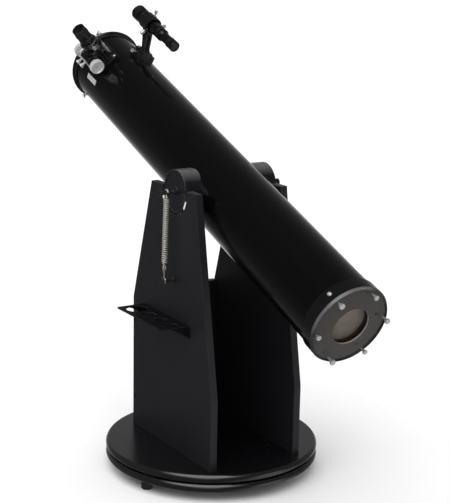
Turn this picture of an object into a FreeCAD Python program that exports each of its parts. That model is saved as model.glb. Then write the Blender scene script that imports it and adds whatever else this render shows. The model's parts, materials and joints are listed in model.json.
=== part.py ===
"""Dobsonian reflector telescope: a 150 mm f/8 Newtonian tube on a two-disc rocker box.

Millimetres, +Z up. The origin is on the floor, on the azimuth axis. +X is the altitude axis, and
the tube's open end points to +Y and up. The tube assembly is drawn in its own frame, with its
optical axis on +Y and the altitude axis through its origin, and is then tilted to its altitude.
"""
import FreeCAD, Part
import math
import os
from FreeCAD import Placement, Rotation, Vector

OUT = "parts"
X, Y, Z = Vector(1, 0, 0), Vector(0, 1, 0), Vector(0, 0, 1)
ORIGIN = Vector(0, 0, 0)

# Round base, from the floor up
BASE_R = 263.0
BOARD = 19.0
BAND = 6.0
BARB_DEPTH, BARB = 8.0, 2.4
FOOT_H, FOOT_R, FOOT_RING, FOOT_ANGLE = 24.0, 15.0, 236.0, 198.6
PAD_GAP = 4.0
PAD_H = 3.7
GROUND_Z = FOOT_H
TABLE_Z = GROUND_Z + BOARD + PAD_GAP
FLOOR_Z = TABLE_Z + BOARD
PIVOT_R, BUSH_R = 5.0, 8.0
PIVOT_CLEARANCE = 0.06
NUT_AF = 16.0
NUT_H = 8.0

# Rocker box
INNER_X = 107.0
OUTER_X = INNER_X + BOARD
AXIS_Y, AXIS_Z = -23.0, FLOOR_Z + 634.0
PANEL_FRONT, PANEL_BACK = -201.0, 179.0
KINK_FRONT, KINK_BACK = FLOOR_Z + 171.0, FLOOR_Z + 334.0
PANEL_TOP = FLOOR_Z + 643.0
TOP_FRONT, TOP_BACK = -119.0, 88.0
CRADLE_R = 55.8
FRONT_BOARD_TOP = FLOOR_Z + 352.0
EDGE = 0.8
SCREW_R, SCREW_HEAD_R, SCREW_HEAD_H, SCREW_LENGTH = 3.0, 5.5, 3.0, 46.0

# Altitude bearings and the springs that hold them down
TRUNNION_R, TRUNNION_FACE = 52.5, 125.0
TRUNNION_WALL, HUB_R, FACE_DISH = 4.0, 12.0, 1.5
SLIDER_T, SLIDER_HALF, SLIDER_ANGLE, SLIDER_PROUD = 4.5, 10.0, 27.0, 0.8
BODY_GAP = 0.3
POST_R, POST_CAP_R, POST_CAP, STUD_R = 5.0, 9.0, 5.0, 3.0
UPPER_POST_END, LOWER_POST_END = 165.0, 163.0
LOWER_POST_Y, LOWER_POST_Z = -28.0, FLOOR_Z + 425.0
SPRING_X_TOP, SPRING_X_LOW = 147.0, 155.0
SPRING_WIRE, SPRING_R = 1.2, 7.0
SPRING_EYE_R, SPRING_LOW_EYE_R = 6.5, 5.0
COIL_START, COIL_LENGTH, COIL_TURNS = 12.0, 158.0, 24

# Eyepiece rack on the left side panel
RACK_Z, RACK_T, RACK_DEPTH, RACK_FLANGE = FLOOR_Z + 328.0, 3.0, 74.0, 30.0
RACK_BACK, RACK_FRONT = 127.0, -101.0
RACK_HOLE_X = OUTER_X + 37.0
RACK_LARGE_R, RACK_SMALL_R = 27.0, 18.0
RACK_LARGE_Y, RACK_SMALL_Y = 90.0, (31.0, -20.0, -71.0)

# Optical tube, along its own axis from the altitude axis
ALTITUDE = 21.5
TUBE_R, TUBE_WALL = 92.0, 1.2
TUBE_IN = TUBE_R - TUBE_WALL
TUBE_BACK, TUBE_FRONT = -558.0, 641.0
RING_R, RING_LIP_R, RING_BAND, RING_END = 99.0, 87.0, 12.0, 6.0
CELL_R, CELL_BAND, CELL_HOLE_R = 96.0, 32.0, 45.0
CELL_RIM_S, CELL_BEVEL, CELL_BEVEL_LENGTH = -564.5, 3.5, 6.5
CELL_EDGE_R, CELL_EDGE_S, CELL_NOSE_S = 90.0, -561.5, -566.3
BOLT_RING, BOLT_ANGLE, BOLT_SEAT_S = 84.0, 53.0, -562.2
KNOB_STANDOFF, LOCK_STANDOFF = (4.0, 8.0, 9.0), (8.0, 8.0, 2.0)
MIRROR_R, MIRROR_T, FOCAL_LENGTH = 75.0, 20.0, 1200.0
CELL_FRONT, CELL_SCREW_S, CELL_SCREW_ANGLE = -548.0, -540.0, 51.0
CARRIER_R, CARRIER_T, CARRIER_HOLE = 89.0, 6.0, 46.0
SPIDER_S, SPIDER_HUB_R = 608.0, 14.0
VANE_T, VANE_W, VANE_STUD = 1.0, 22.0, 2.3

# Focuser: radial frame at FOCUS_S along the tube and FOCUS_PSI round it
FOCUS_S, FOCUS_PSI = 557.0, 45.5
DRAW_R, DRAW_BORE, DRAW_CLEARANCE = 18.5, 15.95, 0.08
HOUSING_R, HOUSING_TOP, TOWER_X, TOWER_Y, TOWER_TOP = 25.0, 142.0, 22.0, 24.0, 127.0
DRAW_LOW, DRAW_TOP = 84.0, 150.0
COLLAR_R, COLLAR_TOP = 23.0, 166.0
MODULE, TEETH, PRESSURE = 1.0, 12, math.radians(25)
ADDENDUM, DEDENDUM, BACKLASH = 0.8, 1.1, 0.2
PITCH_R = MODULE * TEETH / 2
PINION_X, PINION_Z = -26.0, 120.0
SHAFT_R = 2.5
SHAFT_CLEARANCE = 0.06
KNOB_R, KNOB_Y, KNOB_W = 18.5, 33.0, 22.0
THUMB_Y, THUMB_RISE = 10.5, 6.0

# Eyepiece, on the focuser's axis
BARREL_R, BARREL_LOW = 15.87, 140.0
EYE_BODY_R, EYE_BODY_TOP, EYECUP_TOP = 18.4, 195.0, 212.0

# Finder: radial frame at FINDER_PSI; its axis runs FINDER_H from the tube's axis
FINDER_PSI, FINDER_H = 107.0, 176.0
SHOE_BACK, SHOE_FRONT, SHOE_X, SHOE_TOP = 490.0, 541.0, 24.0, 105.0
GROOVE_Z, GROOVE_LOW_X, GROOVE_TOP_X = 97.0, 16.3, 12.8
SLIDE_GAP, CLAMP_TIP_X = 0.3, 15.7
HOLDER_R, HOLDER_BORE, HOLDER_BACK, HOLDER_FRONT = 22.5, 19.8, 525.0, 567.0
AIM_S, O_RING_S, O_RING_R = 534.0, 559.0, 2.15
O_RING_GAP = 0.3
AIM_ANGLES = (-10.5, 79.5)
TENSION_ANGLE = -145.5
FINDER_R, FINDER_OBJECTIVE_R, FINDER_EYE_R = 16.2, 20.0, 14.0
FINDER_BACK, FINDER_EYE_S = 404.0, 434.0
FINDER_NECK_R, FINDER_NECK_WALL, FINDER_NECK_S = 12.5, 2.0, 462.0
FINDER_STEP, FINDER_FRONT = 571.0, 614.0

TUBE_FRAME = Placement(Vector(0, AXIS_Y, AXIS_Z), Rotation(X, ALTITUDE))


def save(node, *shapes):
    """Writes one node: one solid, or several that share a file."""
    shape = shapes[0] if len(shapes) == 1 else Part.makeCompound(list(shapes))
    shape.exportStep(os.path.join(OUT, node + ".step"))


def placed(shape, placement):
    """A copy of shape moved by placement, whatever placement it had before."""
    moved = shape.copy()
    moved.Placement = placement * shape.Placement
    return moved


def aim(origin, z_axis, y_axis):
    """The frame at origin with these z and y axes."""
    return Placement(origin, Rotation(y_axis.cross(z_axis), y_axis, z_axis, "ZYX"))


def radial(s, psi):
    """The frame on the tube's axis at s: z points outwards at psi, y along the tube to the sky."""
    angle = math.radians(psi)
    outwards = Vector(-math.cos(angle), 0, math.sin(angle))
    return TUBE_FRAME * aim(Vector(0, s, 0), outwards, Y)


def along_tube(s):
    """The frame on the tube's axis at s: z along the tube to the sky, angles as psi goes."""
    return TUBE_FRAME * aim(Vector(0, s, 0), Y, Z)


def spoke(s, psi, tilt):
    """The frame at the finder's axis at s: z points away from that axis, tilt degrees from outwards."""
    return radial(s, psi) * Placement(Vector(0, 0, FINDER_H), Rotation(Y, tilt))


def rod(radius, low, high, centre=ORIGIN, axis=Z):
    """A cylinder along axis, from low to high measured from centre."""
    return Part.makeCylinder(radius, high - low, centre + axis * low, axis)


def pipe(outer, inner, low, high):
    return rod(outer, low, high).cut(rod(inner, low - 1, high + 1))


def block(x, y, z):
    """A box from three (low, high) pairs."""
    return Part.makeBox(x[1] - x[0], y[1] - y[0], z[1] - z[0], Vector(x[0], y[0], z[0]))


def outline(points):
    """A flat face through points."""
    return Part.Face(Part.makePolygon(list(points) + [points[0]]))


def turned(points):
    """A solid of revolution about z from (radius, z) points."""
    return outline([Vector(r, 0, z) for r, z in points]).revolve(ORIGIN, Z, 360)


def fluted(radius, depth, flutes, low, high):
    """A gripping rim: a prism whose outline steps in and out round the circle."""
    points = []
    for i in range(2 * flutes):
        r = radius - depth * (i % 2)
        turn = math.pi * i / flutes
        points.append(Vector(r * math.cos(turn), r * math.sin(turn), low))
    return outline(points).extrude(Vector(0, 0, high - low))


def hexagon(across_flats, low, high):
    corners = [Vector(across_flats / math.sqrt(3), 0, low)]
    corners += [Rotation(Z, 60 * i).multVec(corners[0]) for i in range(1, 6)]
    return outline(corners).extrude(Vector(0, 0, high - low))


def round_head(radius, height, low=0.0):
    """A domed screw head with a hex recess, standing on z = low."""
    waist = 0.45 * height
    side = Part.LineSegment(Vector(radius, 0, low), Vector(radius, 0, low + waist)).toShape()
    middle = Vector(0.72 * radius, 0, low + 0.86 * height)
    dome = Part.Arc(Vector(radius, 0, low + waist), middle, Vector(0, 0, low + height)).toShape()
    axis = Part.LineSegment(Vector(0, 0, low + height), Vector(0, 0, low)).toShape()
    foot = Part.LineSegment(Vector(0, 0, low), Vector(radius, 0, low)).toShape()
    head = Part.Face(Part.Wire([side, dome, axis, foot])).revolve(ORIGIN, Z, 360)
    return head.cut(hexagon(0.9 * radius, low + 0.4 * height, low + 2 * height))


def screw(shank_r, shank, head_r, head_h):
    """A screw whose head stands on z = 0 and whose shank goes down."""
    return round_head(head_r, head_h).fuse(rod(shank_r, -shank, 0)).removeSplitter()


def thumbscrew(shank_r, shank, head_r, head_h, flutes=14):
    """A thumbscrew: its neck and flared, knurled head above z = 0, its shank below."""
    neck = rod(0.45 * head_r, 0, 0.3 * head_h)
    cone = Part.makeCone(0.5 * head_r, 0.93 * head_r, 0.5 * head_h, Vector(0, 0, 0.2 * head_h))
    grip = fluted(head_r, 0.07 * head_r, flutes, 0.62 * head_h, head_h)
    dish = rod(0.6 * head_r, 0.94 * head_h, 2 * head_h)
    return neck.fuse([cone, grip, rod(shank_r, -shank, 0)]).cut(dish).removeSplitter()


def screw_hole(shank_r, shank):
    """The running clearance for a turning screw's shank, in the screw's own frame."""
    return rod(shank_r + SHAFT_CLEARANCE, -shank - 0.5, 1.5)


def on_ring(radius, angle, z=0.0):
    return Rotation(Z, angle).multVec(Vector(radius, 0, z))


def foot_angles():
    return [FOOT_ANGLE + 120 * i for i in range(3)]


# ---------------------------------------------------------------- round base


def disc_board(low, hole_r):
    """A round board with a hole in the middle and a slot for its edge band's barb."""
    middle = low + BOARD / 2
    edge = BASE_R - BAND
    slot = pipe(edge + 1, edge - BARB_DEPTH, middle - BARB / 2, middle + BARB / 2)
    return rod(edge, low, low + BOARD).cut(slot).cut(rod(hole_r, low - 1, low + BOARD + 1))


def edge_band(low):
    """The half-round plastic band pressed onto a board's edge, with its barb."""
    middle, edge = low + BOARD / 2, BASE_R - BAND
    flat = 1.0
    nose = Part.Arc(
        Vector(edge + flat, 0, low), Vector(BASE_R, 0, middle), Vector(edge + flat, 0, low + BOARD)
    ).toShape()
    back = Part.makePolygon(
        [
            Vector(edge + flat, 0, low + BOARD),
            Vector(edge, 0, low + BOARD),
            Vector(edge, 0, middle + BARB / 2),
            Vector(edge - BARB_DEPTH, 0, middle + BARB / 2),
            Vector(edge - BARB_DEPTH, 0, middle - BARB / 2),
            Vector(edge, 0, middle - BARB / 2),
            Vector(edge, 0, low),
            Vector(edge + flat, 0, low),
        ]
    )
    return Part.Face(Part.Wire(nose.Edges + back.Edges)).revolve(ORIGIN, Z, 360)


def foot(angle):
    """A tapered foot with a recess for its screw."""
    recess_r, recess_h, shank_r = 6.5, 10.0, 2.4
    shape = turned(
        [
            (shank_r, FOOT_H),
            (FOOT_R, FOOT_H),
            (FOOT_R, FOOT_H - 3),
            (FOOT_R - 2, 1.5),
            (FOOT_R - 3.5, 0),
            (recess_r, 0),
            (recess_r, recess_h),
            (shank_r, recess_h),
        ]
    )
    return placed(shape, Placement(on_ring(FOOT_RING, angle), Rotation()))


def foot_screw(angle):
    recess_h, length = 10.0, 28.0
    shape = screw(2.4, length, 5.0, 3.0)
    turned_over = Placement(on_ring(FOOT_RING, angle, recess_h), Rotation(X, 180))
    return placed(shape, turned_over)


def azimuth_pad(angle):
    """One of the low-friction pads that the rocker box turns on, above a foot."""
    pad = block((-14, 14), (-19, 19), (0, PAD_H))
    pad = pad.makeFillet(4, [e for e in pad.Edges if abs(e.tangentAt(0).z) > 0.9])
    place = Placement(on_ring(FOOT_RING - 12, angle, GROUND_Z + BOARD), Rotation(Z, angle))
    return placed(pad, place)


def build_base():
    ground = disc_board(GROUND_Z, PIVOT_R)
    screws = [foot_screw(a) for a in foot_angles()]
    save("ground_board", ground.cut(screws))
    save("ground_edge_band", edge_band(GROUND_Z))
    save("feet", *[foot(a) for a in foot_angles()])
    save("azimuth_pads", *[azimuth_pad(a) for a in foot_angles()])
    head_h, washer_h, spare = 7.0, 2.0, 4.0
    washer_z = FLOOR_Z + BODY_GAP
    nut_z = washer_z + washer_h
    bolt_top = nut_z + NUT_H + spare
    bolt = hexagon(NUT_AF, GROUND_Z - head_h, GROUND_Z).fuse(rod(PIVOT_R, GROUND_Z - 1, bolt_top))
    washer = pipe(13.0, PIVOT_R, washer_z, nut_z)
    nut = hexagon(NUT_AF, nut_z, nut_z + NUT_H).cut(rod(PIVOT_R, nut_z - 1, bolt_top + 1))
    save("base_fasteners", bolt.removeSplitter(), washer, nut, *screws)


# ---------------------------------------------------------------- rocker box


def side_panel(side):
    """A side of the rocker box, with the cradle for its altitude bearing."""
    profile = [
        (PANEL_FRONT, FLOOR_Z),
        (PANEL_BACK, FLOOR_Z),
        (PANEL_BACK, KINK_BACK),
        (TOP_BACK, PANEL_TOP),
        (TOP_FRONT, PANEL_TOP),
        (PANEL_FRONT, KINK_FRONT),
    ]
    inner = side * INNER_X
    panel = outline([Vector(inner, y, z) for y, z in profile]).extrude(X * side * BOARD)
    rim = [e for e in panel.Edges if abs(e.tangentAt(0).x) < 0.1 and e.BoundBox.ZMax > FLOOR_Z + 1]
    panel = panel.makeChamfer(EDGE, rim)
    centre = Vector(0, AXIS_Y, AXIS_Z)
    wide = (-OUTER_X - 1, OUTER_X + 1)
    bore = rod(CRADLE_R, *wide, centre, X)
    mouth = block(wide, (AXIS_Y - CRADLE_R, AXIS_Y + CRADLE_R), (AXIS_Z, PANEL_TOP + 1))
    return panel.cut([bore, mouth])


def altitude_slider(side, sign):
    """One of the white plastic pads, set into the cradle, that an altitude bearing rides on."""
    inner = TRUNNION_R + BODY_GAP
    across = sorted((side * (INNER_X - SLIDER_PROUD), side * (OUTER_X + SLIDER_PROUD)))
    pad = block(across, (inner, inner + SLIDER_T), (-SLIDER_HALF, SLIDER_HALF))
    lean = -SLIDER_ANGLE if sign > 0 else 180 + SLIDER_ANGLE
    return placed(pad, Placement(Vector(0, AXIS_Y, AXIS_Z), Rotation(X, lean)))


def box_screws():
    """The screws that hold the box together: the heads show on the side panels' outer faces."""
    found = []
    depth = (PANEL_BACK + PANEL_BACK - BOARD) / 2
    for side in (-1, 1):
        facing = aim(ORIGIN, X * side, Z)
        for height in (FLOOR_Z + 74, FLOOR_Z + 276):
            head = Vector(side * (OUTER_X - 1), depth, height)
            shape = screw(SCREW_R, SCREW_LENGTH, SCREW_HEAD_R, SCREW_HEAD_H)
            found.append(placed(shape, Placement(head, facing.Rotation)))
        for y in (PANEL_FRONT + 50, PANEL_BACK - 70):
            found.append(screw_from_below(side * (INNER_X + BOARD / 2), y))
    found.append(screw_from_below(0, depth))
    return found


def screw_from_below(x, y):
    """A countersunk screw up through the turntable."""
    cone = Part.makeCone(SCREW_HEAD_R, SCREW_R, SCREW_HEAD_H, Vector(x, y, TABLE_Z))
    shank = rod(SCREW_R, 0, SCREW_LENGTH, Vector(x, y, TABLE_Z))
    return cone.fuse(shank).removeSplitter()


def spring_post(side, reach, centre):
    """A grooved post that a spring hooks onto, standing out from a face at x."""
    face, end = centre.x, side * reach
    length = abs(end - face)
    grip = turned(
        [
            (0, 0),
            (POST_R + 2, 0),
            (POST_R + 2, 6),
            (POST_R, 8),
            (POST_R, length - POST_CAP - 2),
            (POST_CAP_R - 1, length - POST_CAP),
            (POST_CAP_R, length - POST_CAP + 1),
            (POST_CAP_R, length - 1),
            (POST_CAP_R - 1, length),
            (3.5, length),
            (3.5, length - 2),
            (0, length - 2),
        ]
    )
    return placed(grip, Placement(centre, aim(ORIGIN, X * side, Z).Rotation))


def lower_post(side):
    face = Vector(side * OUTER_X, LOWER_POST_Y, LOWER_POST_Z)
    post = spring_post(side, LOWER_POST_END, face)
    return post.fuse(rod(STUD_R, -15, 1, face, X * side)).removeSplitter()


def coil():
    """A stretched coil as a sleeve, scalloped by its turns, hanging down from z = 0."""
    pitch = COIL_LENGTH / COIL_TURNS
    outer, inner = SPRING_R, SPRING_R - 2 * SPRING_WIRE
    valley = 0.5 * SPRING_WIRE
    edges = []
    for i in range(COIL_TURNS):
        low, high = Vector(outer - valley, 0, -pitch * i), Vector(outer - valley, 0, -pitch * (i + 1))
        crest = Vector(outer, 0, -pitch * (i + 0.5))
        edges.append(Part.Arc(low, crest, high).toShape())
    corners = [
        Vector(outer - valley, 0, -COIL_LENGTH),
        Vector(inner, 0, -COIL_LENGTH),
        Vector(inner, 0, 0),
        Vector(outer - valley, 0, 0),
    ]
    closing = Part.makePolygon(corners)
    return Part.Face(Part.Wire(edges + closing.Edges)).revolve(ORIGIN, Z, 360)


def spring_eye(radius, height):
    """A wire ring standing in the yz plane, centred at height."""
    return Part.makeTorus(radius, SPRING_WIRE, Vector(0, 0, height), X)


def tension_spring(side):
    """The coil with an eye at each end, and the hook that joins its lower eye to the lower post."""
    top = Vector(side * SPRING_X_TOP, AXIS_Y, AXIS_Z)
    low = Vector(side * SPRING_X_LOW, LOWER_POST_Y, LOWER_POST_Z)
    up = (top - low).normalize()
    span = (top - low).Length
    frame = aim(top, up, Y.cross(up).cross(up).multiply(-1).normalize())
    eye_z = -COIL_START - COIL_LENGTH - SPRING_LOW_EYE_R - 1.5
    cross = SPRING_R
    pieces = [
        spring_eye(SPRING_EYE_R, 0),
        rod(SPRING_WIRE, -COIL_START - 1, -SPRING_EYE_R),
        block((-cross, cross), (-1, 1), (-COIL_START - 1.6, -COIL_START)),
        block((-cross, cross), (-1, 1), (-COIL_START - COIL_LENGTH, 1.6 - COIL_START - COIL_LENGTH)),
        rod(SPRING_WIRE, eye_z + SPRING_LOW_EYE_R, 0.5 - COIL_START - COIL_LENGTH),
        spring_eye(SPRING_LOW_EYE_R, eye_z),
    ]
    body = placed(coil(), Placement(Vector(0, 0, -COIL_START), Rotation()))
    spring = body.fuse(pieces).removeSplitter()
    hook_top = eye_z - SPRING_LOW_EYE_R + 2 * SPRING_WIRE + 0.6
    ring_r = POST_R + 1.6
    shank = rod(1.6, ring_r - span, hook_top - 3)
    small = Part.makeTorus(2.6, 0.9, Vector(0, 0, hook_top - 2.6), Y)
    hook = Part.makeTorus(ring_r, 1.1, Vector(0, 0, -span), X).fuse([shank, small])
    return [placed(spring, frame), placed(hook.removeSplitter(), frame)]


def eyepiece_rack():
    """A shelf with one large and three small holes, and a flange that screws to the left panel."""
    wall = -OUTER_X
    tip = wall - RACK_DEPTH
    long_way = (RACK_FRONT, RACK_BACK)
    plate = block((tip, wall), long_way, (RACK_Z - RACK_T, RACK_Z))
    corners = [e for e in plate.Edges if e.BoundBox.XMax < tip + 1 and e.BoundBox.ZLength > 1]
    plate = plate.makeFillet(6, corners)
    flange = block((wall - RACK_T, wall), long_way, (RACK_Z - RACK_FLANGE, RACK_Z))
    gussets = [rack_gusset(y) for y in (RACK_FRONT, RACK_BACK - RACK_T)]
    rack = plate.fuse([flange] + gussets).removeSplitter()
    holes = [(RACK_LARGE_Y, RACK_LARGE_R)] + [(y, RACK_SMALL_R) for y in RACK_SMALL_Y]
    drills = [
        rod(r, RACK_Z - RACK_T - 1, RACK_Z + 1, Vector(-RACK_HOLE_X, y, 0)) for y, r in holes
    ]
    return rack.cut(drills)


def rack_gusset(y):
    """The curved web under one end of the rack."""
    wall, low = -OUTER_X, RACK_Z - RACK_FLANGE
    corner = Vector(wall, y, RACK_Z)
    tip = Vector(wall - RACK_DEPTH + 10, y, RACK_Z - RACK_T)
    foot_point = Vector(wall - RACK_T, y, low)
    sag = Vector(wall - 0.35 * RACK_DEPTH, y, RACK_Z - 0.38 * RACK_FLANGE)
    sides = Part.makePolygon([foot_point, Vector(wall, y, low), corner, tip])
    curve = Part.Arc(tip, sag, foot_point).toShape()
    return Part.Face(Part.Wire(sides.Edges + [curve])).extrude(Y * RACK_T)


def rack_screws():
    face = aim(ORIGIN, X * -1, Z).Rotation
    shape = screw(2.0, RACK_T + 12, 4.5, 2.6)
    x = -OUTER_X - RACK_T
    return [placed(shape, Placement(Vector(x, y, RACK_Z - 18), face)) for y in (-74.0, 104.0)]


def build_rocker():
    screws = box_screws() + rack_screws()
    sliders = [altitude_slider(side, sign) for side in (-1, 1) for sign in (-1, 1)]
    posts = [lower_post(side) for side in (-1, 1)]
    board_y = (PANEL_BACK - BOARD, PANEL_BACK)
    front_board = block((-INNER_X, INNER_X), board_y, (FLOOR_Z, FRONT_BOARD_TOP))
    top_edges = [e for e in front_board.Edges if e.BoundBox.ZMin > FRONT_BOARD_TOP - 1]
    front_board = front_board.makeChamfer(EDGE, [e for e in top_edges if e.BoundBox.XLength > 1])
    save("turntable_board", disc_board(TABLE_Z, BUSH_R).cut(screws))
    save("turntable_edge_band", edge_band(TABLE_Z))
    bush = pipe(BUSH_R, PIVOT_R + PIVOT_CLEARANCE, TABLE_Z, FLOOR_Z)
    save("azimuth_bushing", bush)
    for name, side in (("left_side_panel", -1), ("right_side_panel", 1)):
        save(name, side_panel(side).cut(screws + sliders + posts))
    save("front_board", front_board.cut(screws))
    save("box_screws", *screws)
    save("altitude_sliders", *sliders)
    save("lower_spring_posts", *posts)
    save("tension_springs", *(tension_spring(-1) + tension_spring(1)))
    save("eyepiece_rack", eyepiece_rack().cut(rack_screws()))


# ---------------------------------------------------------------- optical tube


def trunnion(side):
    """An altitude bearing: a moulded drum saddled onto the tube, open towards it."""
    face = TRUNNION_FACE
    rim = 6.0
    drum = rod(TRUNNION_R, 70, face, ORIGIN, X * side)
    drum = drum.makeFillet(1.5, [e for e in drum.Edges if abs(e.BoundBox.Center.x) > face - 1])
    cavity = rod(TRUNNION_R - TRUNNION_WALL, 69, face - 5, ORIGIN, X * side)
    hub = rod(HUB_R, 69, face, ORIGIN, X * side)
    dish = rod(TRUNNION_R - rim, face - FACE_DISH, face + 1, ORIGIN, X * side)
    ribs = [
        placed(block((70, face - 4), (-1.5, 1.5), (-TRUNNION_R + 3, TRUNNION_R - 3)), turn)
        for turn in (Placement(ORIGIN, Rotation(X, a)) for a in (0, 60, 120))
    ]
    if side < 0:
        half_turn = Placement(ORIGIN, Rotation(Z, 180))
        ribs = [placed(r, half_turn) for r in ribs]
    drum = drum.cut(cavity).fuse([hub] + ribs).cut(dish.cut(hub))
    return drum.cut(rod(TUBE_R, -200, 200, ORIGIN, Y)).cut(rod(STUD_R, 60, 130, ORIGIN, X * side))


def upper_post(side):
    """The post in a bearing's centre: its stud goes through the bearing and the tube to a nut."""
    start = Vector(side * TRUNNION_FACE, 0, 0)
    stud = rod(STUD_R, TUBE_IN - 7, TRUNNION_FACE + 1, ORIGIN, X * side)
    nut = placed(hexagon(11, TUBE_IN - 5.3, TUBE_IN - 0.3), aim(ORIGIN, X * side, Z))
    return spring_post(side, UPPER_POST_END, start).fuse([stud, nut]).removeSplitter()


def tube_shell(cutters):
    shell = pipe(TUBE_R, TUBE_IN, TUBE_BACK, TUBE_FRONT)
    shell = placed(shell, along_tube(0))
    return shell.cut(cutters)


def front_ring():
    """The rolled ring that stiffens the open end: a band over the tube, a bead and an inner lip."""
    band_r = TUBE_R + 2.5
    start, end = TUBE_FRONT - RING_BAND, TUBE_FRONT + RING_END
    low = [
        (TUBE_R, TUBE_FRONT),
        (TUBE_R, start),
        (band_r, start),
        (band_r, TUBE_FRONT - 3),
        (RING_R - 2, TUBE_FRONT - 1.5),
    ]
    high = [
        (RING_R, TUBE_FRONT + 1.0),
        (RING_R, end - 2.5),
        (RING_R - 2.5, end),
        (RING_LIP_R + 1, end),
        (RING_LIP_R, end - 1),
        (RING_LIP_R, TUBE_FRONT),
    ]
    return placed(turned(low + high), along_tube(0))


def bolt_places(first):
    """The three places round the mirror cell that start at this angle."""
    for i in range(3):
        yield on_ring(BOLT_RING, first + 120 * i)


def cell_bolt(place, shape, s):
    """Puts a bolt drawn with its head up on the back of the cell, pointing away from the sky."""
    frame = along_tube(s) * Placement(place, Rotation(X, 180))
    return placed(shape, frame)


def rear_cell(bolts, screws):
    """The cast ring over the tube's lower end, with a shallow cone across it and a hole in the middle."""
    band = TUBE_BACK + CELL_BAND
    ring = turned(
        [
            (TUBE_R, band),
            (CELL_R - 1, band),
            (CELL_R, band - 1),
            (CELL_R, CELL_RIM_S + CELL_BEVEL_LENGTH),
            (CELL_R - CELL_BEVEL, CELL_RIM_S),
            (CELL_EDGE_R + 0.6, CELL_RIM_S),
            (CELL_EDGE_R, CELL_EDGE_S),
            (CELL_HOLE_R + 1, CELL_NOSE_S),
            (CELL_HOLE_R, CELL_NOSE_S + 1),
            (CELL_HOLE_R, TUBE_BACK - 3),
            (CELL_EDGE_R - 6, TUBE_BACK),
            (TUBE_R, TUBE_BACK),
        ]
    )
    return placed(ring, along_tube(0)).cut(bolts + screws)


def collimation_knob(place, standoff):
    """A mirror adjusting bolt: its head stands off from the cell, its tip is flush with the carrier."""
    start = BOLT_SEAT_S - standoff
    return cell_bolt(place, thumbscrew(SHAFT_R, CELL_FRONT - start, 6.6, 12.0, 16), start)


def lock_screw(place, standoff):
    """A smaller screw that bears on the mirror's carrier to lock it."""
    start = BOLT_SEAT_S - standoff
    return cell_bolt(place, thumbscrew(2.0, CELL_FRONT - CARRIER_T - start, 5.7, 10.5, 16), start)


def mirror_cell(bolts):
    """The carrier that the mirror sits on, pushed forward by three springs."""
    plate = pipe(CARRIER_R, CARRIER_HOLE, CELL_FRONT - CARRIER_T, CELL_FRONT)
    notches = [
        rod(13, CELL_FRONT - 10, CELL_FRONT + 1, on_ring(CARRIER_R + 6, BOLT_ANGLE + 90 + 120 * i))
        for i in range(3)
    ]
    return placed(plate.cut(notches), along_tube(0)).cut(bolts)


def primary_mirror():
    """The glass disc, with its hollow front face to the sky."""
    back = CELL_FRONT + 1.0
    disc = rod(MIRROR_R, back, back + MIRROR_T)
    radius = 2 * FOCAL_LENGTH
    sag = radius - math.sqrt(radius * radius - MIRROR_R * MIRROR_R)
    ball = Part.makeSphere(radius, Vector(0, 0, back + MIRROR_T - sag + radius))
    return placed(disc.cut(ball), along_tube(0))


def mirror_clip(angle):
    """A clip over the mirror's edge, standing on the carrier, with its pad between carrier and mirror."""
    inner, outer = MIRROR_R + 0.5, MIRROR_R + 7.0
    top = CELL_FRONT + 1.0 + MIRROR_T
    post = block((inner, outer), (-7, 7), (CELL_FRONT, top + 4))
    lip = block((MIRROR_R - 5, outer), (-7, 7), (top + 0.4, top + 4))
    clip = post.fuse(lip).removeSplitter()
    pad = rod(6, CELL_FRONT, CELL_FRONT + 1.0, Vector(MIRROR_R - 15, 0, 0))
    turn = along_tube(0) * Placement(ORIGIN, Rotation(Z, angle))
    return [placed(clip, turn), placed(pad, turn)]


def collimation_spring(place):
    low, high = TUBE_BACK, CELL_FRONT - CARRIER_T
    turns = 3
    pitch = (high - low) / turns
    points = [(3.4, low)]
    for i in range(turns):
        points += [(4.6, low + pitch * i), (5.4, low + pitch * (i + 0.5))]
    points += [(4.6, high), (3.4, high)]
    shape = turned(points)
    return placed(shape, along_tube(0) * Placement(place, Rotation()))


def band_screw(s, psi):
    """A screw through the cell's band and the tube."""
    return placed(screw(1.8, 8.0, 5.2, 3.2), radial(s, psi) * Placement(Z * CELL_R, Rotation()))


def spider():
    """Four thin vanes from the tube wall to a hub."""
    hub = rod(SPIDER_HUB_R, SPIDER_S - 11, SPIDER_S + 11)
    bore = rod(2.6, SPIDER_S - 20, SPIDER_S + 20)
    half = VANE_W / 2
    length = TUBE_IN - 0.2
    span = (SPIDER_S - half, SPIDER_S + half)
    vanes = []
    for i in range(4):
        vane = block((SPIDER_HUB_R - 1, length), (-VANE_T / 2, VANE_T / 2), span)
        tab = block((length - 1.0, length), (-6, 6), (SPIDER_S - 6, SPIDER_S + 6))
        turn = Placement(ORIGIN, Rotation(Z, 45 + 90 * i))
        vanes.append(placed(vane.fuse(tab), turn))
    inside = rod(TUBE_IN, SPIDER_S - 40, SPIDER_S + 40)
    return placed(hub.fuse(vanes).removeSplitter().common(inside).cut(bore), along_tube(0))


def spider_screw(psi):
    """A knurled nut outside the tube on the stud of one vane."""
    shape = thumbscrew(1.8, VANE_STUD, 5.5, 10.0, 14)
    washer = rod(6.5, -0.9, 0)
    nut = shape.fuse(washer).removeSplitter()
    return placed(nut, radial(SPIDER_S, psi) * Placement(Z * (TUBE_R + 1.0), Rotation()))


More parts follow.
